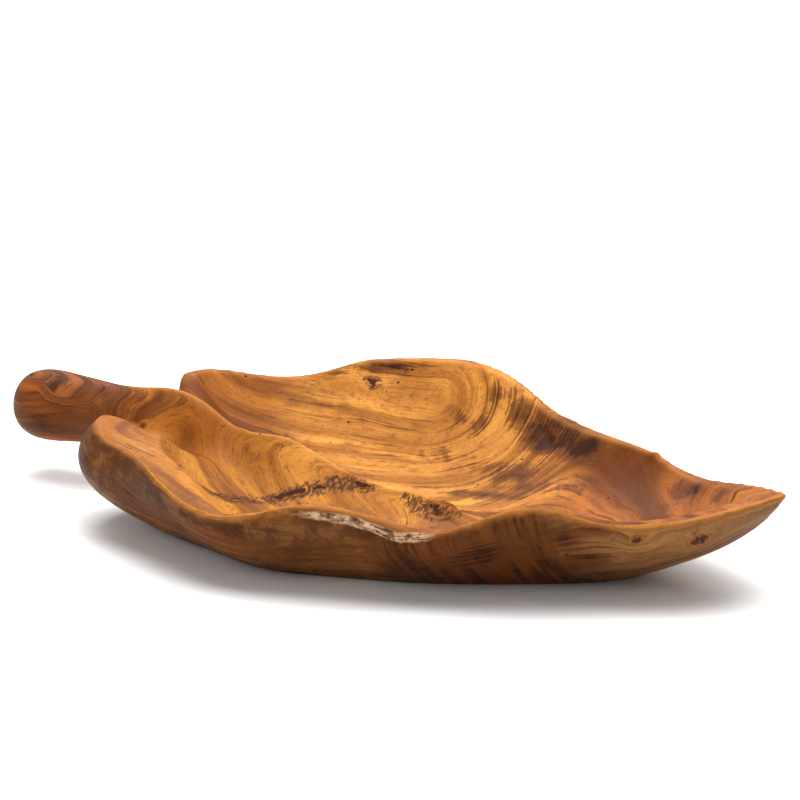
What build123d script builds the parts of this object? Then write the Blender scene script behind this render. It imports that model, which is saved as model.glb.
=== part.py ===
from build123d import *
import os
from math import sqrt

# Carved leaf bowl, cut from one piece of root wood.  Millimetres, +Z up.
# X runs along the leaf from the end of the stem (-X) to the leaf's tip (+X), and +Y is the
# side with the high wall.  Z = 0 is the surface that the bowl stands on, and the origin lies
# on the flat foot.

# ---------------------------------------------------------------- driving dimensions
leaf_length = 430.0        # notch to tip
leaf_width = 292.0         # across the rim, at its widest
tip_x = 280.0              # where the leaf's tip lies along the bowl
tip_z = 66.0               # height of the tip
stock_top = 86.0           # height of the block before the rim is cut
brim = 8.0                 # thickness of the wall at the rim
tip_brim = 17.0            # solid wood in the leaf's tip
floor_z = 17.0             # wood under the hollow

foot_scale = 0.66          # the foot's outline as a share of the rim's
floor_scale = 0.34         # the flat of the hollow as a share of its edge
shrink_x = 5.0             # the point on the midrib that both shrink towards
flare = 1.6                # how soon the outside turns upright above the foot
lobe_fullness = 1.5        # how much sooner it does so under the lobes
tip_fullness = 3.0         # and under the tip

lobe_shoulder_z = 44.0     # the thick lobe starts to round over here
lobe_top_z = 73.0
lobe_closing = 0.36        # how far it has closed in at its top

stem_length = 122.0        # free end of the stem to the notch
stem_radius = 24.0         # at the free end
stem_z = 50.0              # height of the stem's axis

seam_depth = 5.0           # how deep the ingrown bark reaches
knot_depth = 8.0           # how deep the dead knots reach
knot_stand = 4.0           # how far outside the wood their cut starts

# ---------------------------------------------------------------- stations along the leaf
# Everything below is placed by two shares: of the leaf's length from the notch, and of its
# width from the midrib.  A third number, where there is one, is a height in millimetres.

# The rim, from the notch round a lobe to the tip, with the height at which it is widest.
front_rim = [
    (-0.028, 0.085, 72), (-0.050, 0.140, 72), (-0.060, 0.205, 72), (-0.046, 0.280, 72),
    (-0.005, 0.350, 72), (0.110, 0.425, 70), (0.210, 0.481, 62), (0.300, 0.503, 47),
    (0.420, 0.476, 57), (0.520, 0.435, 53), (0.628, 0.380, 50), (0.730, 0.315, 67),
    (0.835, 0.230, 57), (0.930, 0.130, 60), (1.004, 0.0, 82),
]
back_rim = [
    (-0.024, 0.075, 66), (-0.055, 0.140, 67), (-0.070, 0.208, 67), (-0.054, 0.275, 66),
    (0.000, 0.335, 61), (0.060, 0.390, 60), (0.150, 0.455, 71), (0.260, 0.498, 76),
    (0.350, 0.503, 79), (0.450, 0.476, 70), (0.535, 0.423, 58), (0.640, 0.339, 56),
    (0.744, 0.254, 50), (0.850, 0.165, 52), (0.935, 0.085, 58), (1.004, 0.0, 82),
]
# The hollow's edge where it runs across the thick lobe, then how many times the brim's
# thickness the wood is at each rim point that follows.
root_edge = (0.079, 0.0, 60)
lobe_edge = [(0.090, 0.050, 56), (0.098, 0.140, 52), (0.108, 0.230, 56), (0.136, 0.325, 64)]
front_brim = [2.0, 1.0, 1.0, 1.0, 1.0, 1.0, 1.1, 1.5]
back_brim = [3.0, 2.0, 1.4, 1.2, 1.1, 1.0, 1.0, 1.0, 1.0, 1.1, 1.1, 1.0, 1.0, 1.2, 1.6]

# The rim's wavy cut: share of length, then its height along two lines, one outside each rim.
rim_cut_reach = 0.582
rim_cut = [
    (-0.116, 75, 60), (-0.065, 75, 66), (0.0, 72, 61), (0.081, 67, 61), (0.128, 64, 68),
    (0.172, 60, 75), (0.205, 55, 77), (0.244, 48, 79), (0.291, 45, 81), (0.337, 47, 82),
    (0.407, 56, 77), (0.465, 57, 68), (0.523, 53, 59), (0.586, 45.5, 58), (0.640, 53, 56),
    (0.698, 66, 52), (0.733, 68, 49), (0.791, 58, 47), (0.849, 55, 50), (0.919, 59, 57),
    (1.028, 68, 68),
]
# The midrib in the hollow: share of length, height of its sharp crest, and the shares of the
# width that its front and back flanks cover.
midrib = [
    (-0.023, 71, 0.062, 0.055), (0.023, 70.5, 0.089, 0.082), (0.070, 62.5, 0.137, 0.116),
    (0.105, 56.5, 0.171, 0.151), (0.174, 53.8, 0.212, 0.205), (0.244, 48.5, 0.226, 0.226),
    (0.302, 38.5, 0.212, 0.219), (0.372, 31, 0.185, 0.192), (0.447, 28.8, 0.144, 0.151),
    (0.493, 25.5, 0.096, 0.103), (0.535, 14.5, 0.034, 0.034),
]
# The stem from its free end: distance from that end, height of its axis above the stem's, and
# its half width and half height as shares of the radius.  It runs out under the midrib.
stem_stations = [
    (0, 0, 0.50, 0.54), (5, 0, 0.79, 0.83), (14, 0, 0.96, 0.98), (34, 0, 1.0, 1.0),
    (65, 0.5, 0.90, 0.90), (95, 1.5, 0.83, 0.81), (120, 1.5, 0.88, 0.85), (140, 0, 0.79, 0.83),
    (158, -7, 0.63, 0.75), (176, -13, 0.42, 0.67), (195, -18, 0.25, 0.46),
]
# Scoops that part the lobes from the root of the stem: shares and height of the middle, side,
# then half length, half width and half height.
lobe_scoops = [
    (0.023, 0.130, 94, -1, 62, 27, 34), (0.079, 0.130, 88, -1, 34, 36, 40),
    (0.019, 0.123, 94, 1, 52, 24, 33),
]
lobe_middle = (0.098, 0.171)    # the thick lobe rounds over towards this point

# Ingrown bark: the long seam down the midrib's front flank, and the patch at its tail.
seam_outline = [
    (0.200, 0.315), (0.205, 0.212), (0.216, 0.137), (0.247, 0.086), (0.288, 0.038),
    (0.335, 0.005), (0.363, 0.007), (0.330, 0.024), (0.284, 0.065), (0.247, 0.113),
    (0.226, 0.158), (0.216, 0.226), (0.209, 0.315),
]
tail_outline = [
    (0.416, 0.007), (0.453, 0.005), (0.500, 0.007), (0.488, 0.034), (0.453, 0.038), (0.428, 0.024),
]


def place(share_x, share_y, side):
    """A point of the leaf in plan, in millimetres."""
    return tip_x - leaf_length * (1 - share_x), side * leaf_width * share_y


notch = place(0, 0, 1)


def toward(point, target, share):
    return (point[0] + (target[0] - point[0]) * share, point[1] + (target[1] - point[1]) * share)


def outer_point(row, side, z):
    """Where the outside stands at height z: on the foot's outline at z = 0, at the rim above."""
    share_x, share_y, height = row
    rim = place(share_x, share_y, side)
    foot = (shrink_x + (rim[0] - shrink_x) * foot_scale, rim[1] * foot_scale)
    rise = min(z / height, 1.0)
    lobe_part = lobe_fullness * max(0.0, 1 - share_x / 0.4)
    tip_part = tip_fullness * max(0.0, share_x - 0.85)
    point = toward(foot, rim, 1 - (1 - rise) ** (flare + lobe_part + tip_part))
    if side < 0 and share_x < 0.15 and z > lobe_shoulder_z:
        over = (z - lobe_shoulder_z) / (lobe_top_z - lobe_shoulder_z)
        point = toward(point, place(*lobe_middle, side), lobe_closing * over**2.2)
    return point


def hollow_edge(rows, widths, side):
    """The inner edge of the rim, with its heights: each rim point moved in by the brim's width."""
    points = [place(x, y, side) for x, y, _ in rows]
    first = len(rows) - 1 - len(widths)
    edge = []
    for i, width in enumerate(widths, first):
        before = points[i - 1] if i else notch
        along = Vector(*points[i + 1]) - Vector(*before)
        inward = Vector(-along.Y, along.X).normalized() * -side * width * brim
        edge.append((points[i][0] + inward.X, points[i][1] + inward.Y, rows[i][2]))
    edge.append((tip_x - tip_brim, 0, tip_z))
    return edge


def hollow_point(inner, z):
    """Where the hollow's wall stands at height z: a quarter round that grows up and outwards."""
    height = inner[2]
    flat = (shrink_x + (inner[0] - shrink_x) * floor_scale, inner[1] * floor_scale)
    rise = (z - floor_z) / (height - floor_z)
    bowl = sqrt(1 - (1 - min(rise, 1.0)) ** 2)
    return toward(flat, inner, 0.62 * bowl + 0.38 * rise)


# ---------------------------------------------------------------- the block, shaped outside
with BuildPart() as block:
    for z in (0, 8, 22, 40, 60, stock_top):
        with BuildSketch(Plane.XY.offset(z)):
            with BuildLine():
                foot_notch = (shrink_x + (notch[0] - shrink_x) * foot_scale, 0)
                start = toward(foot_notch, notch, min(z / stem_z, 1))
                Spline(start, *[outer_point(row, -1, z) for row in front_rim])
                Spline(start, *[outer_point(row, 1, z) for row in back_rim])
            make_face()
    loft()

# ---------------------------------------------------------------- the rim's wavy cut
with BuildPart() as above_rim:
    with BuildLine(Plane.XZ.offset(rim_cut_reach * leaf_width)) as front_wave:
        Spline(*[(place(x, 0, 1)[0], front_z) for x, front_z, _ in rim_cut])
    with BuildLine(Plane.XZ.offset(-rim_cut_reach * leaf_width)) as back_wave:
        Spline(*[(place(x, 0, 1)[0], back_z) for x, _, back_z in rim_cut])
    wave = Face.make_surface_from_curves(front_wave.edges()[0], back_wave.edges()[0])
    extrude(wave, amount=stock_top, dir=(0, 0, 1))

# ---------------------------------------------------------------- the hollow
lobe_line = [(*place(x, y, -1), height) for x, y, height in lobe_edge]
front_edge = lobe_line + hollow_edge(front_rim, front_brim, -1)
back_edge = hollow_edge(back_rim, back_brim, 1)
root_point = (*place(root_edge[0], 0, 1), root_edge[2])

with BuildPart() as hollow:
    for z in (floor_z, floor_z + 4, floor_z + 13, 46, 64, stock_top):
        with BuildSketch(Plane.XY.offset(z)):
            with BuildLine():
                Spline(*[hollow_point(point, z) for point in [root_point, *front_edge]])
                Spline(*[hollow_point(point, z) for point in [root_point, *back_edge]])
            make_face()
    loft()

# ---------------------------------------------------------------- the midrib inside the hollow
with BuildPart() as ridge:
    for share_x, crest_z, front_share, back_share in midrib:
        with BuildSketch(Plane.YZ.offset(place(share_x, 0, 1)[0])):
            with BuildLine():
                front_foot = (-front_share * leaf_width, floor_z - 4)
                back_foot = (back_share * leaf_width, floor_z - 4)
                Spline(front_foot, (0, crest_z), tangents=((1, 0.12), (0.8, 1)))
                Spline((0, crest_z), back_foot, tangents=((0.8, -1), (1, -0.12)))
                Line(back_foot, front_foot)
            make_face()
    loft()

# ---------------------------------------------------------------- the stem
with BuildPart() as stem:
    for distance, lift, wide, high in stem_stations:
        with BuildSketch(Plane.YZ.offset(notch[0] - stem_length + distance)):
            with Locations((0, stem_z + lift)):
                Ellipse(stem_radius * wide, stem_radius * high)
    loft()

# ---------------------------------------------------------------- scoops beside the root
with BuildPart() as scoops:
    for share_x, share_y, z, side, half_x, half_y, half_z in lobe_scoops:
        ball = scale(Solid.make_sphere(1), (half_x, half_y, half_z), mode=Mode.PRIVATE)
        add(Pos(*place(share_x, share_y, side), z) * ball)

# ---------------------------------------------------------------- the carved wood, still whole
with BuildPart() as carving:
    add(block.part)
    add(above_rim.part, mode=Mode.SUBTRACT)
    add(hollow.part, mode=Mode.SUBTRACT)
    add(ridge.part)
    add(scoops.part, mode=Mode.SUBTRACT)
    add(stem.part)


# ---------------------------------------------------------------- ingrown bark and dead knots
def bark(outline):
    """The skin of wood inside an outline in plan, as deep as the bark goes."""
    with BuildPart() as skin:
        with BuildSketch():
            with BuildLine():
                Spline(*[place(x, y, -1) for x, y in outline], periodic=True)
            make_face()
        extrude(amount=stock_top)
        add(carving.part, mode=Mode.INTERSECT)
        add(Pos(0, 0, -seam_depth) * carving.part, mode=Mode.SUBTRACT)
    return skin


def dead_knot(share_x, share_y, side, z, inward, long_radius, short_radius):
    """A plug of dead wood in the wall, from the surface inwards."""
    middle = Vector(*place(share_x, share_y, side), z)
    outside = middle - Vector(*inward).normalized() * knot_stand
    with BuildPart() as plug:
        with BuildSketch(Plane(outside, x_dir=(1, 0, 0.1), z_dir=inward)):
            Ellipse(long_radius, short_radius)
        extrude(amount=knot_depth + knot_stand)
        add(carving.part, mode=Mode.INTERSECT)
    return plug


bark_seam = bark(seam_outline)
bark_seam.part.label = "bark_seam"

tail_bark = bark(tail_outline)
tail_bark.part.label = "tail_bark"

wall_knot = dead_knot(0.198, 0.414, 1, 61, (0, 0.73, -0.67), 8.5, 6)
wall_knot.part.label = "wall_knot"

tip_knot = dead_knot(0.905, 0.134, -1, 42, (-0.56, 0.65, 0.51), 8, 7)
tip_knot.part.label = "tip_knot"

flank_knot = dead_knot(0.837, 0.209, -1, 44, (-0.39, 0.79, 0.47), 5, 4)
flank_knot.part.label = "flank_knot"

inclusions = [bark_seam, tail_bark, wall_knot, tip_knot, flank_knot]

# ---------------------------------------------------------------- the bowl, with their sockets
with BuildPart() as leaf_bowl:
    add(carving.part)
    for piece in inclusions:
        add(piece.part, mode=Mode.SUBTRACT)
leaf_bowl.part.label = "leaf_bowl"

os.makedirs("parts", exist_ok=True)
for piece in [leaf_bowl, *inclusions]:
    export_step(piece.part, f"parts/{piece.part.label}.step")
    print(piece.part.label, len(piece.solids()), piece.part.is_valid, round(piece.part.volume))
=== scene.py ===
# %% [markdown]
# # A leaf bowl carved from root wood
# The real bowl is one block of root wood: a leaf with two lobes, a wavy rim, a sharp midrib
# and a thick stem.  The frame gives that carving at its true size.  This notebook gives it
# the surface of real carved wood: eased edges, a soft root, tool marks and grain.

# %% Load the frame
import bpy
import bmesh
import math
import numpy as np
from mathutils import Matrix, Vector
from mathutils.bvhtree import BVHTree
from mathutils.kdtree import KDTree


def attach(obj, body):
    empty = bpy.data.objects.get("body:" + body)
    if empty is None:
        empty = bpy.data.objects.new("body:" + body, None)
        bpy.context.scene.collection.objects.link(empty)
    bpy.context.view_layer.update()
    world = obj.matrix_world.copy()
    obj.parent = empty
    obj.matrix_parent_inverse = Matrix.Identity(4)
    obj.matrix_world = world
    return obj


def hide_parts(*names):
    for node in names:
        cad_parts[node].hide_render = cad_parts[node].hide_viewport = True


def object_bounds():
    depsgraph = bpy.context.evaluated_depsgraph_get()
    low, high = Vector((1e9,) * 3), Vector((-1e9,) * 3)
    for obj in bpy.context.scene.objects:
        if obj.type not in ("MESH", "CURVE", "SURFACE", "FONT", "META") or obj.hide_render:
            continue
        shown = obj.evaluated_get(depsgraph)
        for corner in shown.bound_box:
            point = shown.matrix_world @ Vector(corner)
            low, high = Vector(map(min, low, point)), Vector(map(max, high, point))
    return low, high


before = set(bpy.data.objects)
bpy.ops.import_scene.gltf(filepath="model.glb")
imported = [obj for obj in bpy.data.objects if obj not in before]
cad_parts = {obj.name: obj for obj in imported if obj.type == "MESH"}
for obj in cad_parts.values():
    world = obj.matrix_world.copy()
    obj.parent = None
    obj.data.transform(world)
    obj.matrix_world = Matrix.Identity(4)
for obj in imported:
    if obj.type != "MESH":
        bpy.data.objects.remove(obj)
cad_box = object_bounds()
print("pieces in the frame:", sorted(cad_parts))

# %% [markdown]
# ## Camera
# The bowl is seen from the side of its tip, a little above the table.  A long lens from far
# away keeps the lobes and the tip in proportion, where a short one would swell whatever is
# near.  The place is worked out from a turn, a tilt and a distance, as on a camera crane.

# %% Camera
VIEW_TURN = math.radians(28.5)
VIEW_TILT = math.radians(15)
VIEW_DISTANCE = 1.7
VIEW_TARGET = Vector((-0.134, 0.290, 0.0))
LENS = 97.6

back = Vector((
    math.sin(VIEW_TURN) * math.cos(VIEW_TILT),
    -math.cos(VIEW_TURN) * math.cos(VIEW_TILT),
    math.sin(VIEW_TILT),
))
camera = bpy.data.objects.new("camera", bpy.data.cameras.new("camera"))
camera.data.lens = LENS
camera.location = VIEW_TARGET + back * VIEW_DISTANCE
camera.rotation_euler = back.to_track_quat("Z", "Y").to_euler()
bpy.context.collection.objects.link(camera)
bpy.context.scene.camera = camera
print("camera at", [round(v, 3) for v in camera.location])

# %% [markdown]
# ## Light
# One broad soft light hangs overhead, so the hollow is bright, the outside is dim and the
# shadow stays under the bowl.  A weak one in front lifts the hull, and a strong one keeps
# the paper white far behind it.  A picture of a studio round the scene would light it too,
# but area lights are easier to size and to place.

# %% Light
def soft_light(name, place, toward, size, power):
    """A rectangular soft box at a place, turned to a point."""
    data = bpy.data.lights.new(name, "AREA")
    data.shape = "RECTANGLE"
    data.size, data.size_y = size
    data.energy = power
    light = bpy.data.objects.new(name, data)
    light.location = place
    light.rotation_euler = (Vector(place) - Vector(toward)).to_track_quat("Z", "Y").to_euler()
    bpy.context.collection.objects.link(light)
    print(name, power, "W")


soft_light("overhead", (0.0, 0.05, 1.7), (0, 0, 0), (1.8, 1.2), 47)
soft_light("front_fill", (-0.6, -1.6, 1.1), (0, 0, 0.03), (1.0, 0.7), 6)
soft_light("backdrop", (-2.0, 4.0, 3.0), (-2.0, 4.5, 0), (5, 4), 260)

world = bpy.data.worlds.new("studio")
world.use_nodes = True
world.node_tree.nodes["Background"].inputs["Color"].default_value = (1, 1, 1, 1)
world.node_tree.nodes["Background"].inputs["Strength"].default_value = 0.42
bpy.context.scene.world = world
bpy.context.scene.view_settings.view_transform = "Standard"

# %% [markdown]
# ## Floor
# A sheet of white paper, much larger than the view, so that no edge of it shows.  One flat
# face is enough, because only the shadow gives it shape.

# %% Floor
FLOOR_REACH = 12
PAPER_WHITE = (0.93, 0.93, 0.93, 1)


def new_material(name):
    """A material, its node tree and its Principled BSDF."""
    material = bpy.data.materials.new(name)
    material.use_nodes = True
    return material, material.node_tree, material.node_tree.nodes["Principled BSDF"]


def mesh_object(name, mesh):
    piece = bpy.data.objects.new(name, mesh)
    bpy.context.collection.objects.link(piece)
    return piece


floor_bm = bmesh.new()
bmesh.ops.create_grid(floor_bm, x_segments=1, y_segments=1, size=FLOOR_REACH)
floor_mesh = bpy.data.meshes.new("floor")
floor_bm.to_mesh(floor_mesh)
floor_bm.free()
floor = mesh_object("floor", floor_mesh)
paper, _, paper_skin = new_material("white_paper")
paper_skin.inputs["Base Color"].default_value = PAPER_WHITE
paper_skin.inputs["Roughness"].default_value = 0.8
floor_mesh.materials.append(paper)
print("floor reaches", FLOOR_REACH, "m each way")

# %% [markdown]
# ## From hard CAD faces to a carved skin
# A CAD solid has knife edges and long thin triangles, which can't be smoothed evenly.  A
# voxel remesh wraps it in an even net of small quads instead.  Each vertex then goes back to
# the nearest point of the CAD skin, and those beside a sharp edge of the rim or the midrib
# go onto that edge, so that it stays one clean line that a light smoothing can ease.

# %% Reading the CAD skin
DOUBLES = 2e-6
SHARP_ANGLE = math.radians(32)
CLEAR_OF_SOCKETS = 0.001


def cad_mesh(node):
    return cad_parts[node].data


def merged_copy(nodes, name):
    """A copy of some CAD nodes' meshes with their doubled vertices joined."""
    bm = bmesh.new()
    for node in nodes:
        bm.from_mesh(cad_mesh(node))
    bmesh.ops.remove_doubles(bm, verts=bm.verts, dist=DOUBLES)
    mesh = bpy.data.meshes.new(name)
    bm.to_mesh(mesh)
    bm.free()
    return mesh


def surface_of(mesh):
    """A mesh's skin, to ask for the nearest point on it."""
    bm = bmesh.new()
    bm.from_mesh(mesh)
    surface = BVHTree.FromBMesh(bm)
    bm.free()
    return surface


def sharp_points(mesh, apart, avoid):
    """Points along the sharp edges of a mesh, apart from those near surfaces to avoid."""
    bm = bmesh.new()
    bm.from_mesh(mesh)
    points = []
    for edge in bm.edges:
        if len(edge.link_faces) == 2 and edge.calc_face_angle(0) > SHARP_ANGLE:
            start, end = (vertex.co for vertex in edge.verts)
            count = max(1, math.ceil((end - start).length / apart))
            points += [start.lerp(end, i / count) for i in range(count + 1)]
    bm.free()
    return [p for p in points if not any(s.find_nearest(p, CLEAR_OF_SOCKETS)[0] for s in avoid)]


bowl_surface = surface_of(cad_mesh("leaf_bowl"))
print("CAD bowl:", len(cad_mesh("leaf_bowl").polygons), "triangles")

# %% Remeshing
BOWL_VOXEL = 0.00193
EDGE_POINTS_APART = 0.0005
INCLUSION_NODES = ("bark_seam", "tail_bark", "wall_knot", "tip_knot", "flank_knot")


def apply_modifiers(piece):
    """Bakes a piece's modifiers into its mesh."""
    depsgraph = bpy.context.evaluated_depsgraph_get()
    baked = bpy.data.meshes.new_from_object(piece.evaluated_get(depsgraph), depsgraph=depsgraph)
    piece.modifiers.clear()
    piece.data = baked


def even_skin(nodes, name, voxel, edge_pull=0.0, avoid=()):
    """One even quad skin over some CAD nodes that touch, laid back on their surface."""
    piece = mesh_object(name, merged_copy(nodes, name))
    surface = surface_of(piece.data)
    edge_points = sharp_points(cad_mesh(nodes[0]), EDGE_POINTS_APART, avoid) if edge_pull else []
    remesh = piece.modifiers.new("even_net", "REMESH")
    remesh.mode = "VOXEL"
    remesh.voxel_size = voxel
    apply_modifiers(piece)
    edge_tree = KDTree(len(edge_points))
    for i, point in enumerate(edge_points):
        edge_tree.insert(point, i)
    edge_tree.balance()
    for vertex in piece.data.vertices:
        nearest = surface.find_nearest(vertex.co)[0]
        if (nearest - vertex.co).length < voxel:
            vertex.co = nearest
        if edge_points:
            sharp, _, gap = edge_tree.find(vertex.co)
            if gap < edge_pull:
                vertex.co = sharp
    return piece


bowl = even_skin(
    ("leaf_bowl",) + INCLUSION_NODES, "carved_bowl", BOWL_VOXEL, edge_pull=0.6 * BOWL_VOXEL,
    avoid=[surface_of(cad_mesh(node)) for node in INCLUSION_NODES],
)
print("bowl skin:", sum(len(face.vertices) - 2 for face in bowl.data.polygons), "triangles")

# %% [markdown]
# ## Moving many vertices at once
# Numpy arrays hold every vertex and normal, so a mask or a push over the whole bowl is one
# line.  A vertex group made from a mask tells the Smooth modifier where to work.

# %% Vertex helpers
SMOOTH_FACTOR = 0.5


def coordinates(piece):
    values = np.zeros(len(piece.data.vertices) * 3)
    piece.data.vertices.foreach_get("co", values)
    return values.reshape(-1, 3)


def set_coordinates(piece, values):
    piece.data.vertices.foreach_set("co", values.ravel())
    piece.data.update()


def normals(piece):
    values = np.zeros(len(piece.data.vertices) * 3)
    piece.data.vertex_normals.foreach_get("vector", values)
    return values.reshape(-1, 3)


def ramp(value, low, high):
    """0 below low, 1 above high, and an even S curve between."""
    t = np.clip((value - low) / (high - low), 0, 1)
    return t * t * (3 - 2 * t)


def near(points, centre, reach):
    """1 at a place, falling evenly to nothing at about twice the reach."""
    offset = (points - np.asarray(centre)) / np.asarray(reach)
    return np.exp(-np.einsum("ij,ij->i", offset, offset))


def smooth_where(piece, mask, times):
    """Smooths a piece as far as the mask says."""
    group = piece.vertex_groups.new(name="smooth_here")
    for i in np.nonzero(mask > 0.01)[0]:
        group.add([int(i)], float(mask[i]), "REPLACE")
    smooth = piece.modifiers.new("soften", "SMOOTH")
    smooth.factor = SMOOTH_FACTOR
    smooth.iterations = times
    smooth.vertex_group = group.name
    apply_modifiers(piece)
    piece.vertex_groups.clear()


print("bowl vertices:", len(coordinates(bowl)))

# %% [markdown]
# ## Softening the root
# Where the stem runs into the leaf, a carver blends everything with a rasp: there is no line
# between the stem, the lobes and the first part of the midrib.  Only the rim and the
# midrib's crest stay crisp.  Sculpting by hand would do it, but a mask and a Smooth modifier
# give the same root on every run.  So the root is smoothed hard, all but the crest, a hollow
# is pushed down on each side of it, and the start of the crest is lifted a little.

# %% Root
ROOT_SMOOTHING = 260
ROOT_HOLLOWS = (
    # middle, half size, depth
    ((-0.128, -0.024, 0.060), (0.034, 0.014, 0.034), 0.017),
    ((-0.130, 0.027, 0.062), (0.032, 0.016, 0.030), 0.010),
)
CREST_RISE = 0.0035
CREST_HALF_WIDTH = 0.006


def on_crest(points):
    """1 on the midrib's crest and 0 a few millimetres beside it."""
    x, y, z = points.T
    return (1 - ramp(np.abs(y), 0.0015, 0.005)) * ramp(z, 0.02, 0.025) * ramp(x, -0.21, -0.18)


co = coordinates(bowl)
x, y, z = co.T
crest = on_crest(co)
root_area = (1 - ramp(np.hypot((x + 0.140) * 0.8, y), 0.040, 0.066)) * ramp(z, 0.036, 0.052)
smooth_where(bowl, root_area * (1 - crest), ROOT_SMOOTHING)

co = coordinates(bowl)
x, y, z = co.T
upper = ramp(normals(bowl)[:, 2], 0.1, 0.4)
for middle, half_size, depth in ROOT_HOLLOWS:
    co[:, 2] -= depth * upper * near(co, middle, half_size)
crest_start = ramp(x, -0.190, -0.155) * (1 - ramp(x, -0.120, -0.085)) * ramp(z, 0.045, 0.055)
co[:, 2] += CREST_RISE * upper * crest_start * np.exp(-np.abs(y) / CREST_HALF_WIDTH)
set_coordinates(bowl, co)
print("root smoothed, vertices:", int((root_area > 0.01).sum()))

# %% [markdown]
# ## Softening the rest
# The foot of the midrib is blended into the floor of the hollow.  Then the whole bowl gets
# a light pass, as from fine sandpaper, which rounds the knife edges of the rim.

# %% Light passes
FLANK_SMOOTHING = 60
SANDING = 5

flank = (1 - ramp(np.abs(y), 0.070, 0.095)) * ramp(x, -0.13, -0.10) * (1 - ramp(x, 0.08, 0.11))
flank *= ramp(z, 0.012, 0.016) * (1 - ramp(z, 0.040, 0.055))
smooth_where(bowl, flank * (1 - crest), FLANK_SMOOTHING)
smooth_where(bowl, np.ones(len(co)), SANDING)
print("flank smoothed, vertices:", int((flank > 0.01).sum()))

# %% [markdown]
# ## Outside, and worn edges with a painted highlight
# Most of the look depends on where on the bowl a point lies.  A ray sent outwards and a
# little down from each vertex tells the outside, which it leaves at once, from the hollow,
# where it hits the far wall.  The bend of the mesh, which is how far a vertex stands proud
# of its neighbours, gives the edges that hands wear, and the same mask paints a highlight
# along the rim and the midrib's crest.

# %% Outside
SPINE_START, SPINE_END = -0.09, 0.15
RAY_DROP = 0.35
RAY_LIFT = 0.0012
RAY_LENGTH = 0.6
NEARLY_LEVEL = 0.8


def outside_mask(piece, surface):
    """1 on the outside of the bowl and 0 in its hollow."""
    mask = np.zeros(len(piece.data.vertices))
    for i, (point, normal) in enumerate(zip(coordinates(piece), normals(piece))):
        spine_x = min(max(point[0], SPINE_START), SPINE_END)
        out = Vector((point[0] - spine_x, point[1], 0))
        if out.length < 1e-4:
            out = Vector((0, 0, -1))
        out = out.normalized() + Vector((0, 0, -RAY_DROP))
        start = Vector(point) + Vector(normal) * RAY_LIFT
        leaves = surface.ray_cast(start, out.normalized(), RAY_LENGTH)[0] is None
        if leaves and normal[2] < NEARLY_LEVEL:
            mask[i] = 1
    return mask


def edge_ends(piece):
    values = np.zeros(len(piece.data.edges) * 2, dtype=np.int32)
    piece.data.edges.foreach_get("vertices", values)
    return values.reshape(-1, 2)


def neighbour_mean(values, edges):
    """For each vertex, the mean of a value over the vertices that share an edge with it."""
    count = np.bincount(edges.ravel(), minlength=len(values))
    count = count.reshape((-1,) + (1,) * (values.ndim - 1))
    total = np.zeros_like(values)
    np.add.at(total, edges[:, 0], values[edges[:, 1]])
    np.add.at(total, edges[:, 1], values[edges[:, 0]])
    return total / np.maximum(count, 1)


def blurred(values, edges, times):
    for _ in range(times):
        values = 0.5 * values + 0.5 * neighbour_mean(values, edges)
    return values


edges = edge_ends(bowl)
outside = blurred(outside_mask(bowl, bowl_surface), edges, 3)
print("outside share:", round(float(outside.mean()), 2))

# %% Worn edges and painted highlight
co = coordinates(bowl)
facing = normals(bowl)
bend = -np.einsum("ij,ij->i", neighbour_mean(co, edges) - co, facing) / BOWL_VOXEL
# Convex edges: partly real wear, partly a painted highlight along the rim and the midrib's crest.
edge_wear_and_highlight = blurred(ramp(bend, 0.02, 0.09), edges, 3)
print("edge share:", round(float(edge_wear_and_highlight.mean()), 2))

# %% [markdown]
# ## Marks in the wood's shape
# A hand-carved wall is never quite even: slow waves stand for the rasp and the scraper.
# The front rim keeps a stretch of the root's raw edge, the tall wall has a fold, a nub
# stands on the far rim and the thick lobe has lost a chip.  A Displace modifier with a
# texture could do the waves, but not place a fold to the millimetre, so each mark is a push
# along the normal here, kept within the frame's box.

# %% Shape details
RASP_DEPTH = 0.0004
FOLD = ((0.052, 0.126, 0.070), (0.064, 0.112, 0.056), (0.082, 0.098, 0.044))
FOLD_DEPTH, FOLD_HALF_WIDTH = 0.0016, 0.004
RAW_EDGE = (
    (0.005, -0.144, 0.054), (0.061, -0.131, 0.052), (0.088, -0.121, 0.043), (0.118, -0.112, 0.048),
)
RAW_DEPTH = 0.0010
NUB = ((0.167, 0.072, 0.0555), (0.004, 0.004, 0.004))
NUB_HEIGHT = 0.0022
CHIP = ((-0.130, -0.105, 0.056), (0.018, 0.003, 0.004))
CHIP_DEPTH = 0.0020
WAVE_COUNT = 9


def waves(points, scale, seed):
    """A sum of slow waves in space, mostly between -1 and 1, the same on every run."""
    rng = np.random.default_rng(seed)
    total = np.zeros(len(points))
    for _ in range(WAVE_COUNT):
        direction = rng.normal(size=3)
        direction /= np.linalg.norm(direction)
        total += np.sin(points @ direction * scale * rng.uniform(0.6, 1.5) + rng.uniform(0, 6.28))
    return total / (WAVE_COUNT / 2)


def to_segment(points, start, end):
    """Distance from a straight piece of line."""
    start, end = np.asarray(start), np.asarray(end)
    line = end - start
    share = np.clip((points - start) @ line / (line @ line), 0, 1)
    return np.linalg.norm(points - start - share[:, None] * line, axis=1)


def to_path(points, path):
    """Distance from the nearest of a path's straight pieces."""
    return np.minimum.reduce([to_segment(points, a, b) for a, b in zip(path, path[1:])])


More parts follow.
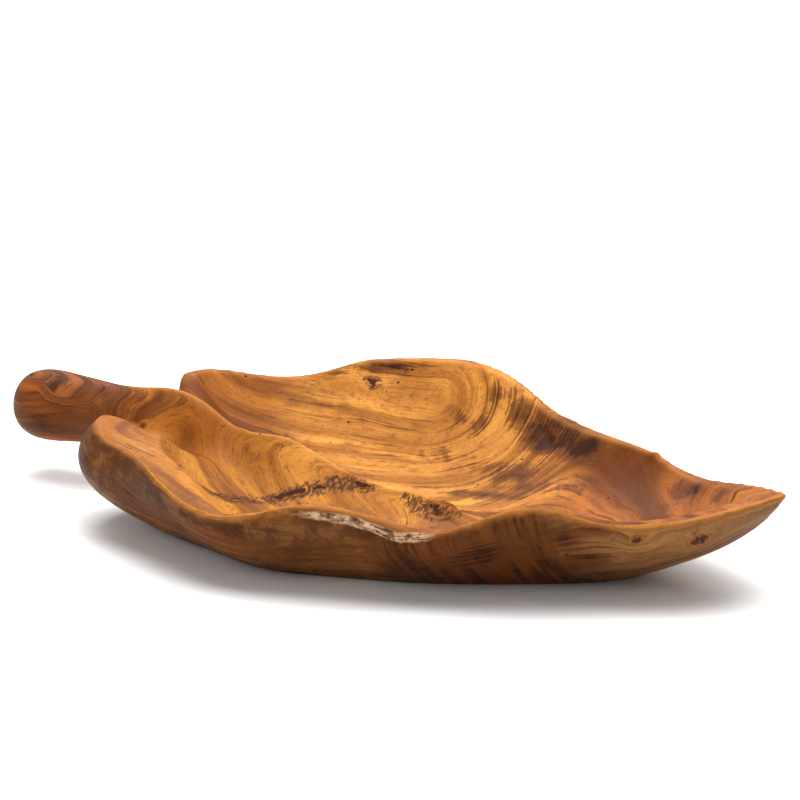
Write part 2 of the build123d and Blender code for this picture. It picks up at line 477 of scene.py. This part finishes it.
edge_reach = to_path(co, RAW_EDGE)
push = RASP_DEPTH * waves(co, 90, 1)
push -= FOLD_DEPTH * (1 - outside) * np.exp(-(to_path(co, FOLD) / FOLD_HALF_WIDTH) ** 2)
push -= RAW_DEPTH * (1 + waves(co, 700, 2)) * (1 - ramp(edge_reach, 0.002, 0.008))
push += NUB_HEIGHT * near(co, *NUB)
push -= CHIP_DEPTH * near(co, *CHIP)
set_coordinates(bowl, np.clip(co + facing * push[:, None], cad_box[0], cad_box[1]))
for face in bowl.data.polygons:
    face.use_smooth = True
print("deepest push:", round(float(push.min()) * 1000, 2), "mm")

# %% [markdown]
# ## The run of the grain
# Growth rings are shells round the middle of the root, so a cut surface shows them as lines.
# Two numbers per vertex follow them: "across" counts through the rings and "along" runs with
# the fibres.  Rings bulge round a knot, so each knot adds a bump to "across", and the lines
# close round it by themselves.  Noise on plain coordinates could not turn with the wood.

# %% Grain fields
SOUND_KNOT = (-0.014, 0.122, 0.055)
KNOT_BULGES = (
    ((-0.065, 0.121, 0.061), 0.004), ((0.239, -0.039, 0.042), 0.010), ((0.210, -0.061, 0.044), 0.010),
)


def grain_across(points, facing_out):
    """Depth through the rings: shells in the hollow's three parts, layers on the hull."""
    x, y, z = points.T
    back_part = to_segment(points, (-0.16, 0.100, 0.065), SOUND_KNOT)
    front_part = 0.09 + to_segment(points, (-0.12, -0.065, 0.075), (-0.02, -0.10, 0.07))
    tip_part = 0.10 + to_segment(points, (0.02, 0.09, 0.10), (0.30, -0.02, 0.09))
    share = ramp(y, -0.01, 0.03)
    inside = front_part * (1 - share) + back_part * share
    share = ramp(x - 0.2 * y, 0.03, 0.11)
    inside = inside * (1 - share) + tip_part * share
    outer = 0.9 * z + 0.25 * np.abs(y) + 0.012 * np.sin(x * 13 + 1.0)
    across = inside * (1 - facing_out) + outer * facing_out
    across = across + 0.0025 * waves(points, 55, 21) + 0.0012 * waves(points, 150, 22)
    for spot, bulge in KNOT_BULGES:
        across = across + bulge * near(points, spot, 0.012)
    return across


x, y, z = co.T
zones = {"grain_across": grain_across(co, outside), "grain_along": x}
print("rings run through", round(float(np.ptp(zones["grain_across"])), 3), "m")

# %% [markdown]
# ## Zones of the bowl
# The colours of this wood change with the place: red towards the tip, deep at the root,
# dark on the stem, pale under the tip.  The root's deep colours also paint shade on the front
# flank of the midrib and the front of the hollow's floor, and the worn edges carry a painted
# highlight.  They could be painted on an image, but that needs an
# unwrapped mesh.  Each zone is a number on every vertex instead, mostly from 0 to 1, kept on
# the mesh as an attribute that a material reads with an Attribute node.

# %% Broad zones
zones["outside"] = outside
lobe_rim = ramp(x, -0.155, -0.140) * (1 - ramp(x, -0.075, -0.050)) * (1 - ramp(y, -0.07, -0.05))
zones["edge_wear_and_highlight"] = edge_wear_and_highlight * (1 - 0.65 * lobe_rim)
zones["red"] = ramp(x - 0.25 * y, 0.02, 0.12) * (1 - outside)
zones["stem"] = 1 - ramp(x, -0.205, -0.150)
zones["upright_bands"] = ramp(x, 0.055, 0.085) * (1 - ramp(x, 0.150, 0.185))
zones["upright_bands"] *= 1 - ramp(y, -0.05, 0.0)
zones["pale_tip"] = ramp(x, 0.160, 0.215)
zones["edge_reach"] = edge_reach
zones["live_edge"] = (1 - ramp(edge_reach, 0.0015, 0.0065)) * ramp(x, -0.01, 0.06)
zones["live_edge"] *= 1 - 0.8 * ramp(x, 0.092, 0.118)
root = 1 - ramp(x + 0.3 * np.abs(y), -0.115, -0.05)
# Painted shade: the front flank of the midrib and the front of the hollow's floor get a share of the
# root's deep colours.
front_side_painted_shade = 0.55 * (1 - ramp(y, -0.012, 0.002)) * (1 - ramp(x, 0.02, 0.08))
zones["root"] = np.maximum(root, front_side_painted_shade)
print("zones:", sorted(zones))

# %% Halo round the bark, and a dark line along the root's crease
ROOT_LINE = ((-0.106, -0.001, 0.057), (-0.096, -0.052, 0.050), (-0.085, -0.088, 0.058))
FAR = 0.02

bark_reach = np.full(len(co), FAR)
for surface in (surface_of(cad_mesh(node)) for node in ("bark_seam", "tail_bark")):
    found = (surface.find_nearest(Vector(point), FAR)[3] for point in co)
    bark_reach = np.minimum(bark_reach, [FAR if gap is None else gap for gap in found])
halo = 1 - ramp(bark_reach, 0.0, 0.010)
# A dark line also runs along the crease where the root's scoop meets the front hollow; it takes the
# bark's strokes.
root_line = 0.9 * (1 - ramp(to_path(co, ROOT_LINE), 0.0005, 0.0055))
zones["halo"] = np.maximum(halo, root_line)
print("halo share:", round(float(zones["halo"].mean()), 3))

# %% [markdown]
# ## Stains and painted shade
# Minerals and old damp leave dark patches that follow the grain.  The spots low on the front
# of the hull are painted shade, and the darkest spot in the pocket of the fold is partly dark
# wood and partly painted shade.  Here each is only a soft
# spot with a middle, a half size and a strength.  The material breaks them up with its
# streaks, so that no spot keeps a round outline.

# %% Stains and painted shade
STAINS_AND_SHADE = {
    "wall knot and the burn above it": (
        ((-0.065, 0.121, 0.061), (0.014, 0.012, 0.012), 0.55),
        ((-0.055, 0.128, 0.072), (0.022, 0.012, 0.006), 1.0),
    ),
    "fold in the tall wall, with painted shade in its pocket": (
        # Dark wood and painted shade in the pocket behind the fold.
        ((0.084, 0.102, 0.050), (0.026, 0.016, 0.018), 1.60),
        ((0.108, 0.090, 0.046), (0.024, 0.014, 0.012), 1.15),
        ((0.048, 0.116, 0.056), (0.014, 0.020, 0.018), 0.85),
        ((0.036, 0.122, 0.066), (0.020, 0.014, 0.008), 0.75),
        ((0.026, 0.112, 0.040), (0.010, 0.016, 0.016), 0.80),
        ((0.008, 0.118, 0.046), (0.008, 0.012, 0.012), 0.55),
    ),
    "rim of the far lobe": (
        ((-0.120, 0.118, 0.069), (0.060, 0.040, 0.006), 0.85),
    ),
    "floor of the hollow": (
        ((0.075, 0.075, 0.024), (0.030, 0.022, 0.012), 0.75),
        ((0.110, 0.060, 0.026), (0.030, 0.016, 0.012), 0.70),
        ((0.015, 0.085, 0.030), (0.030, 0.010, 0.010), 0.60),
        ((0.060, 0.080, 0.024), (0.035, 0.010, 0.010), 0.75),
        ((0.050, 0.045, 0.020), (0.050, 0.008, 0.010), 0.80),
        ((0.110, 0.020, 0.020), (0.050, 0.014, 0.010), 0.75),
        ((0.085, 0.060, 0.022), (0.030, 0.020, 0.010), 0.65),
    ),
    "inside the tip": (
        ((0.215, 0.030, 0.050), (0.040, 0.016, 0.020), 0.65),
        ((0.204, 0.036, 0.047), (0.018, 0.012, 0.010), 0.95),
        ((0.229, 0.020, 0.051), (0.014, 0.010, 0.010), 0.75),
    ),
    "outside, under the tip": (
        ((0.170, -0.078, 0.043), (0.016, 0.010, 0.008), 1.0),
        ((0.181, -0.061, 0.027), (0.018, 0.012, 0.010), 0.9),
        ((0.192, -0.073, 0.051), (0.014, 0.010, 0.006), 0.9),
    ),
    "thick lobe": (
        ((-0.100, -0.120, 0.040), (0.020, 0.020, 0.014), 0.8),
        ((-0.060, -0.130, 0.030), (0.024, 0.020, 0.012), 0.8),
        ((-0.060, -0.095, 0.045), (0.020, 0.010, 0.010), 0.5),
        ((-0.150, -0.085, 0.066), (0.010, 0.012, 0.006), 0.6),
    ),
    # Painted shade low on the front of the hull, where it curves under towards the floor.
    "painted shade low on the front of the hull": (
        ((-0.030, -0.135, 0.030), (0.060, 0.020, 0.012), 0.6),
        ((0.040, -0.120, 0.020), (0.050, 0.020, 0.012), 0.6),
        ((0.125, -0.090, 0.030), (0.040, 0.030, 0.024), 0.85),
    ),
    "stem": (
        ((-0.190, -0.010, 0.070), (0.030, 0.012, 0.012), 0.7),
    ),
}


def store(piece, name, values):
    """Keeps a mask on the mesh, where a material can read it with an Attribute node."""
    attribute = piece.data.attributes.new(name, "FLOAT", "POINT")
    attribute.data.foreach_set("value", np.asarray(values, dtype=np.float32))


dark = np.zeros(len(co))
for spots in STAINS_AND_SHADE.values():
    for middle, half_size, strength in spots:
        dark = np.maximum(dark, strength * near(co, middle, half_size))
zones["dark"] = np.clip(dark, 0, 1)
for name, values in zones.items():
    store(bowl, name, values)
print("dark share:", round(float(zones["dark"].mean()), 3))

# %% [markdown]
# ## Nodes by the handful
# A short helper adds a node, sets its sockets and links what is handed to it, so that each
# material below reads like a recipe.

# %% Node helpers
def add(tree, kind, inputs=None, **settings):
    """A node with its settings, and its inputs set or linked."""
    node = tree.nodes.new(kind)
    for key, value in settings.items():
        setattr(node, key, value)
    for key, value in (inputs or {}).items():
        if isinstance(value, bpy.types.NodeSocket):
            tree.links.new(value, node.inputs[key])
        else:
            node.inputs[key].default_value = value
    return node


def reckon(tree, operation, a, b):
    return add(tree, "ShaderNodeMath", {0: a, 1: b}, operation=operation).outputs[0]


def times(tree, a, b):
    return reckon(tree, "MULTIPLY", a, b)


def plus(tree, a, b):
    return reckon(tree, "ADD", a, b)


def span(tree, value, low, high, out_low=0.0, out_high=1.0):
    """Maps low..high to out_low..out_high with a soft start and end."""
    return add(tree, "ShaderNodeMapRange", {
        "Value": value, "From Min": low, "From Max": high, "To Min": out_low, "To Max": out_high,
    }, interpolation_type="SMOOTHSTEP").outputs["Result"]


def blend(tree, amount, under, over):
    """One colour over another; a colour is a link or three numbers."""
    under, over = (
        colour if isinstance(colour, bpy.types.NodeSocket) else (*colour, 1)
        for colour in (under, over)
    )
    return add(tree, "ShaderNodeMix", {0: amount, 6: under, 7: over}, data_type="RGBA").outputs[2]


def noise(tree, place, scale, detail, roughness):
    return add(tree, "ShaderNodeTexNoise", {
        "Vector": place, "Scale": scale, "Detail": detail, "Roughness": roughness,
    }).outputs["Fac"]


def stretched(tree, place, scale):
    """Object coordinates with a scale for each axis."""
    return add(tree, "ShaderNodeMapping", {"Vector": place, "Scale": scale}).outputs[0]


def read(tree, name):
    return add(tree, "ShaderNodeAttribute", attribute_name=name).outputs["Fac"]


def object_place(tree):
    return add(tree, "ShaderNodeTexCoord").outputs["Object"]


def new_group(name, inputs, outputs):
    """A shader node group with named sockets, and its two end nodes."""
    group = bpy.data.node_groups.new(name, "ShaderNodeTree")
    for label, kind in inputs:
        group.interface.new_socket(label, in_out="INPUT", socket_type=kind)
    for label in outputs:
        group.interface.new_socket(label, in_out="OUTPUT", socket_type="NodeSocketFloat")
    print("group", name, "puts out", outputs)
    return group, group.nodes.new("NodeGroupInput"), group.nodes.new("NodeGroupOutput")


# %% [markdown]
# ## Grain
# One group draws the lines of the wood.  It reads the two grain numbers, stretches noise
# much longer along the fibres than across them, and gives broad bands, fine streaks, fibres
# and slow clouds.  The wood, the bark and the knots all use it with their own ring count.

# %% Grain group
GRAIN_LINES = (
    # output, scale across a ring, scale along the fibres, detail, seed
    ("Bands", 0.22, 5.0, 3.0, 1.0),
    ("Streaks", 1.4, 14.0, 4.0, 7.0),
    ("Fibres", 8.0, 110.0, 2.0, 13.0),
)


def grain_noise(tree, across, along, across_scale, along_scale, detail, seed):
    place = add(tree, "ShaderNodeCombineXYZ", {
        "X": times(tree, across, across_scale), "Y": times(tree, along, along_scale), "Z": seed,
    }).outputs[0]
    return noise(tree, place, 1.0, detail, 0.6)


grain, grain_in, grain_out = new_group(
    "grain",
    [("Across", "NodeSocketFloat"), ("Along", "NodeSocketFloat"), ("Place", "NodeSocketVector"),
     ("Ring Count", "NodeSocketFloat")],
    ["Bands", "Streaks", "Fibres", "Clouds"],
)
ripple = noise(grain, grain_in.outputs["Place"], 28.0, 3.0, 0.5)
rippled = plus(grain, grain_in.outputs["Across"], times(grain, ripple, 0.004))
ring = times(grain, rippled, grain_in.outputs["Ring Count"])
for label, *look in GRAIN_LINES:
    grain.links.new(grain_noise(grain, ring, grain_in.outputs["Along"], *look), grain_out.inputs[label])
grain.links.new(noise(grain, grain_in.outputs["Place"], 14.0, 5.0, 0.55), grain_out.inputs["Clouds"])


def grain_nodes(tree, rings):
    """The grain group, reading a piece's own grain numbers."""
    return add(tree, "ShaderNodeGroup", {
        "Across": read(tree, "grain_across"), "Along": read(tree, "grain_along"),
        "Place": object_place(tree), "Ring Count": rings,
    }, node_tree=grain).outputs


# %% [markdown]
# ## Strokes of bark
# Ingrown bark breaks up into short strokes across the bowl, and so does the wood beside it.
# Both get the strokes from one group, so that they run on from one piece to the next.

# %% Stroke group
STROKE_SCALE = (620.0, 230.0, 230.0)

strokes, strokes_in, strokes_out = new_group(
    "strokes",
    [("Place", "NodeSocketVector"), ("Detail", "NodeSocketFloat"), ("Roughness", "NodeSocketFloat")],
    ["Strokes"],
)
strokes.links.new(noise(
    strokes, stretched(strokes, strokes_in.outputs["Place"], STROKE_SCALE), 1.0,
    strokes_in.outputs["Detail"], strokes_in.outputs["Roughness"],
), strokes_out.inputs["Strokes"])


def stroke_nodes(tree, detail, roughness):
    return add(tree, "ShaderNodeGroup", {
        "Place": object_place(tree), "Detail": detail, "Roughness": roughness,
    }, node_tree=strokes).outputs["Strokes"]


# %% [markdown]
# ## Oiled root wood: the inside
# The inside is golden with tan bands, turns rust red towards the tip and goes deeper at the
# root; the same deep colours paint shade on the front flank of the midrib and the front of the
# hollow's floor.  A picture of wood would stretch and repeat on these walls, so the colours come from
# the grain group.  Each zone has its own pair for the dark and the light bands, and the
# zone's mask lays it over the last.

# %% Inside
GOLD = ((0.34, 0.115, 0.014), (0.77, 0.335, 0.060))
GOLD_SHADE = (0.37, 0.130, 0.020)
RUST = ((0.095, 0.022, 0.002), (0.43, 0.125, 0.014))
DEEP = ((0.14, 0.034, 0.003), (0.40, 0.130, 0.012))
WOOD_RINGS = 300.0

wood, tree, skin = new_material("oiled_root_wood")
lines = grain_nodes(tree, WOOD_RINGS)
bands, streaks, fibres, clouds = (lines[k] for k in ("Bands", "Streaks", "Fibres", "Clouds"))
place = object_place(tree)
fine_clouds = noise(tree, place, 55.0, 8.0, 0.70)

colour = blend(tree, span(tree, bands, 0.36, 0.62), *GOLD)
colour = blend(tree, span(tree, clouds, 0.45, 0.70, 0, 0.7), colour, GOLD_SHADE)
red = times(tree, read(tree, "red"), span(tree, clouds, 0.25, 0.5, 0.5, 1.0))
colour = blend(tree, red, colour, blend(tree, span(tree, bands, 0.38, 0.62), *RUST))
deep = blend(tree, span(tree, bands, 0.38, 0.62), *DEEP)
# The root mask also carries painted shade on the front flank of the midrib and the front of the hollow's
# floor.
colour = blend(tree, read(tree, "root"), colour, deep)
print("inside:", len(tree.nodes), "nodes")

# %% [markdown]
# ## The outside and the stem
# The hull is browner and less handled, with mottled layers, upright dark bands under the
# front rim and paler wood at the tip.  The stem is darker still.

# %% Outside and stem colours
HULL = ((0.040, 0.011, 0.002), (0.26, 0.092, 0.016))
HULL_CLOUD = (0.085, 0.030, 0.008)
HULL_LIGHT = (0.30, 0.125, 0.030)
HULL_DARK = (0.050, 0.014, 0.004)
UPRIGHT = ((0.008, 0.002, 0.001), (0.13, 0.034, 0.004))
UPRIGHT_SCALE = (170.0, 9.0, 12.0)
PALE_TIP = ((0.14, 0.055, 0.016), (0.32, 0.155, 0.050))
STEM = ((0.034, 0.008, 0.002), (0.30, 0.080, 0.016))
STEM_CLOUD = (0.16, 0.050, 0.014)

hull = blend(tree, span(tree, bands, 0.38, 0.62), *HULL)
hull = blend(tree, span(tree, clouds, 0.42, 0.60, 0, 0.75), hull, HULL_CLOUD)
hull = blend(tree, span(tree, fine_clouds, 0.48, 0.60, 0, 0.50), hull, HULL_LIGHT)
hull = blend(tree, span(tree, fine_clouds, 0.38, 0.52, 0.55, 0), hull, HULL_DARK)
upright = noise(tree, stretched(tree, place, UPRIGHT_SCALE), 1.0, 5.0, 0.65)
upright_brown = blend(tree, span(tree, upright, 0.40, 0.60), *UPRIGHT)
hull = blend(tree, read(tree, "upright_bands"), hull, upright_brown)
hull = blend(tree, read(tree, "pale_tip"), hull, blend(tree, span(tree, bands, 0.38, 0.60), *PALE_TIP))
colour = blend(tree, read(tree, "outside"), colour, hull)

stem_brown = blend(tree, span(tree, bands, 0.42, 0.60), *STEM)
stem_brown = blend(tree, span(tree, clouds, 0.45, 0.6, 0, 0.6), stem_brown, STEM_CLOUD)
stem_amount = plus(tree, read(tree, "stem"), times(tree, clouds, 0.6))
colour = blend(tree, span(tree, stem_amount, 0.55, 0.95), colour, stem_brown)
print("with outside and stem:", len(tree.nodes), "nodes")

# %% [markdown]
# ## Fibres, minerals, stains and painted shade
# Over all zones lie the small things: fibres, open pores, specks, dark mineral lines along
# single rings, smoky patches, and the stains, among them some painted shade.  A stain's edge is pulled
# about by streaks and fine clouds, and has a brown rim round a nearly black middle.

# %% Fibres, stains and painted shade
FIBRE = (0.16, 0.045, 0.007)
PORE = (0.060, 0.018, 0.004)
SPECK = (0.13, 0.040, 0.008)
MINERAL = (0.060, 0.020, 0.010)
SMOKE = (0.13, 0.045, 0.018)
# Colours of the dark zone: real stains, and painted shade low on the front of the hull and in the fold's
# pocket.
STAIN_AND_SHADE_RIM = (0.105, 0.029, 0.006)
STAIN_AND_SHADE_MIDDLE = (0.026, 0.005, 0.001)
BARK_STROKE = (0.050, 0.015, 0.006)

colour = blend(tree, span(tree, fibres, 0.30, 0.70, 0, 0.30), colour, FIBRE)
colour = blend(tree, span(tree, fibres, 0.60, 0.70, 0, 0.7), colour, PORE)
speckle = noise(tree, place, 260.0, 4.0, 0.7)
colour = blend(tree, span(tree, speckle, 0.50, 0.68, 0, 0.45), colour, SPECK)
mineral = times(tree, span(tree, streaks, 0.55, 0.68), span(tree, clouds, 0.42, 0.58))
colour = blend(tree, times(tree, mineral, 0.85), colour, MINERAL)
smoky = times(tree, span(tree, fine_clouds, 0.50, 0.68), span(tree, bands, 0.42, 0.62, 1.0, 0.2))
colour = blend(tree, times(tree, smoky, 0.55), colour, SMOKE)
broken = reckon(tree, "SUBTRACT", plus(tree, streaks, fine_clouds), 1.0)
# The dark zone holds real stains and painted shade: low on the front of the hull and in the fold's
# pocket.
stain_and_shade = plus(tree, read(tree, "dark"), times(tree, broken, 1.7))
colour = blend(tree, span(tree, stain_and_shade, 0.30, 0.62, 0, 0.80), colour, STAIN_AND_SHADE_RIM)
colour = blend(tree, span(tree, stain_and_shade, 0.62, 1.10, 0, 0.92), colour, STAIN_AND_SHADE_MIDDLE)
# The halo attribute also holds the dark line along the root's crease.
beside_bark = plus(tree, read(tree, "halo"), times(tree, stroke_nodes(tree, 4.0, 0.6), 2.2))
colour = blend(tree, span(tree, beside_bark, 1.78, 2.25, 0, 0.9), colour, BARK_STROKE)
print("with stains:", len(tree.nodes), "nodes")

# %% [markdown]
# ## Edges, borer holes and sheen
# Handled edges are paler, and the same paler colour paints a highlight along the rim and the
# midrib's crest.  The raw edge of the root is whitish and splintered, with streaks
# that run along the rim.  A few borer holes are cells of a Voronoi pattern cut off near
# their middles.  Oil leaves a low sheen that is duller in the dense streaks.

# %% Edges
# Paler colour of worn edges, also used as a painted highlight on the rim and the crest.
WORN_AND_HIGHLIT = (0.55, 0.20, 0.035)
RAW_WOOD = ((0.66, 0.40, 0.24), (0.10, 0.038, 0.012))

# Worn edges are paler; the same mask paints a highlight along the rim and the midrib's crest.
worn_and_highlit = times(tree, read(tree, "edge_wear_and_highlight"), span(tree, streaks, 0.3, 0.6, 0.2, 0.65))
colour = blend(tree, worn_and_highlit, colour, WORN_AND_HIGHLIT)
splinters = grain_noise(tree, read(tree, "edge_reach"), read(tree, "grain_along"), 700.0, 90.0, 6.0, 3.0)
splinters = plus(tree, times(tree, splinters, 0.6), times(tree, speckle, 0.4))
raw_wood = blend(tree, span(tree, splinters, 0.44, 0.58), *RAW_WOOD)
raw_amount = plus(tree, read(tree, "live_edge"), fine_clouds)
colour = blend(tree, span(tree, raw_amount, 0.85, 1.35), colour, raw_wood)
print("with edges:", len(tree.nodes), "nodes")

# %% Holes and sheen
HOLE_CELLS_PER_METRE = 48.0
HOLE_SIZE = 0.045
HOLE = (0.012, 0.005, 0.003)
OIL_SHEEN = 0.07

cells = add(tree, "ShaderNodeTexVoronoi", {"Vector": place, "Scale": HOLE_CELLS_PER_METRE})
hole = reckon(tree, "LESS_THAN", cells.outputs["Distance"], HOLE_SIZE)
tree.links.new(blend(tree, hole, colour, HOLE), skin.inputs["Base Color"])
tree.links.new(span(tree, streaks, 0.3, 0.7, 0.42, 0.60), skin.inputs["Roughness"])
relief = plus(tree, streaks, times(tree, fibres, 0.6))
relief = plus(tree, relief, times(tree, fine_clouds, 0.8))
relief = reckon(tree, "SUBTRACT", relief, times(tree, hole, 2.0))
tree.links.new(add(tree, "ShaderNodeBump", {
    "Height": relief, "Strength": 0.5, "Distance": 0.0007,
}).outputs["Normal"], skin.inputs["Normal"])
skin.inputs["Specular IOR Level"].default_value = OIL_SHEEN

bowl.data.materials.clear()
bowl.data.materials.append(wood)
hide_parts("leaf_bowl")
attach(bowl, "root")
print("root wood:", len(tree.nodes), "nodes")

# %% [markdown]
# ## Bark and dead knots
# Bark that the root grew round, and the hard stubs of dead side roots, are other bodies in
# the wood: dark, dry and broken.  Their material has a dark heart that fades to the wood's
# brown at the rim, where the stroke group breaks the border up.

# %% Bark and knot finishes
DRY_SHEEN = 0.15
INCLUSION_RINGS = 500.0


def rough_finish(name, heart, shell, roughness, depth):
    """A dark broken heart that fades to the wood's brown at the rim of the inclusion."""
    material, tree, skin = new_material(name)
    marks = stroke_nodes(tree, 5.0, 0.65)
    streaks = grain_nodes(tree, INCLUSION_RINGS)["Streaks"]
    brown = blend(tree, span(tree, streaks, 0.35, 0.65), shell, [value * 0.5 for value in shell])
    amount = plus(tree, read(tree, "heart"), times(tree, marks, 2.2))
    tree.links.new(blend(tree, span(tree, amount, 1.30, 1.85), brown, heart), skin.inputs["Base Color"])
    skin.inputs["Roughness"].default_value = roughness
    skin.inputs["Specular IOR Level"].default_value = DRY_SHEEN
    tree.links.new(add(tree, "ShaderNodeBump", {
        "Height": marks, "Strength": 0.7, "Distance": depth,
    }).outputs["Normal"], skin.inputs["Normal"])
    print(name, "has", len(tree.nodes), "nodes")
    return material


bark = rough_finish("ingrown_bark", (0.040, 0.012, 0.005), (0.40, 0.125, 0.014), 0.8, 0.0012)
knot_wood = rough_finish("dead_knot_wood", (0.045, 0.014, 0.006), (0.30, 0.100, 0.016), 0.6, 0.0008)

# %% [markdown]
# ## The bark and knot pieces
# Each is a fine net over its own CAD solid, roughened by small waves and a hair proud of
# the bowl's skin.  The rings of a knot run round its middle, and the lines of the bark run
# along the bowl.  How far a point lies from the wood round it tells the heart from the rim.

# %% Inclusions
INCLUSION_VOXEL = 0.0008


def rough_noise(points, seed):
    """Broken small waves from long to short, without a beat."""
    return sum(waves(points, scale, seed + scale) / (1 + scale / 700) for scale in (400, 900, 1900)) / 1.6


def inclusion(node, material, roughness, proud, heart_depth, seed):
    """A rough piece in the wood, with its grain numbers and its heart."""
    piece = even_skin((node,), "rough_" + node, INCLUSION_VOXEL)
    spots = coordinates(piece)
    spots = spots + normals(piece) * (roughness * rough_noise(spots, seed) + proud)[:, None]
    set_coordinates(piece, spots)
    round_middle = np.linalg.norm(spots - spots.mean(axis=0), axis=1)
    is_knot = material is knot_wood
    store(piece, "grain_across", round_middle if is_knot else spots[:, 1])
    store(piece, "grain_along", np.zeros(len(spots)) if is_knot else spots[:, 0])
    depth = np.array([bowl_surface.find_nearest(Vector(point))[3] for point in spots])
    store(piece, "heart", ramp(depth, 0.0, heart_depth))
    for face in piece.data.polygons:
        face.use_smooth = True
    piece.data.materials.clear()
    piece.data.materials.append(material)
    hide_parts(node)
    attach(piece, "root")
    print(piece.name, len(piece.data.polygons), "faces")


inclusion("bark_seam", bark, 0.0009, 0.0001, 0.0020, 31)
inclusion("tail_bark", bark, 0.0009, 0.0001, 0.0060, 32)
inclusion("wall_knot", knot_wood, 0.0005, 0.0002, 0.0050, 33)
inclusion("tip_knot", knot_wood, 0.0005, 0.0002, 0.0060, 34)
inclusion("flank_knot", knot_wood, 0.0005, 0.0002, 0.0040, 35)

# %% [markdown]
# ## Size of the frame
# The box of the CAD frame is printed.

# %% Size of the frame
print("CAD box:", [[round(v, 4) for v in c] for c in cad_box])
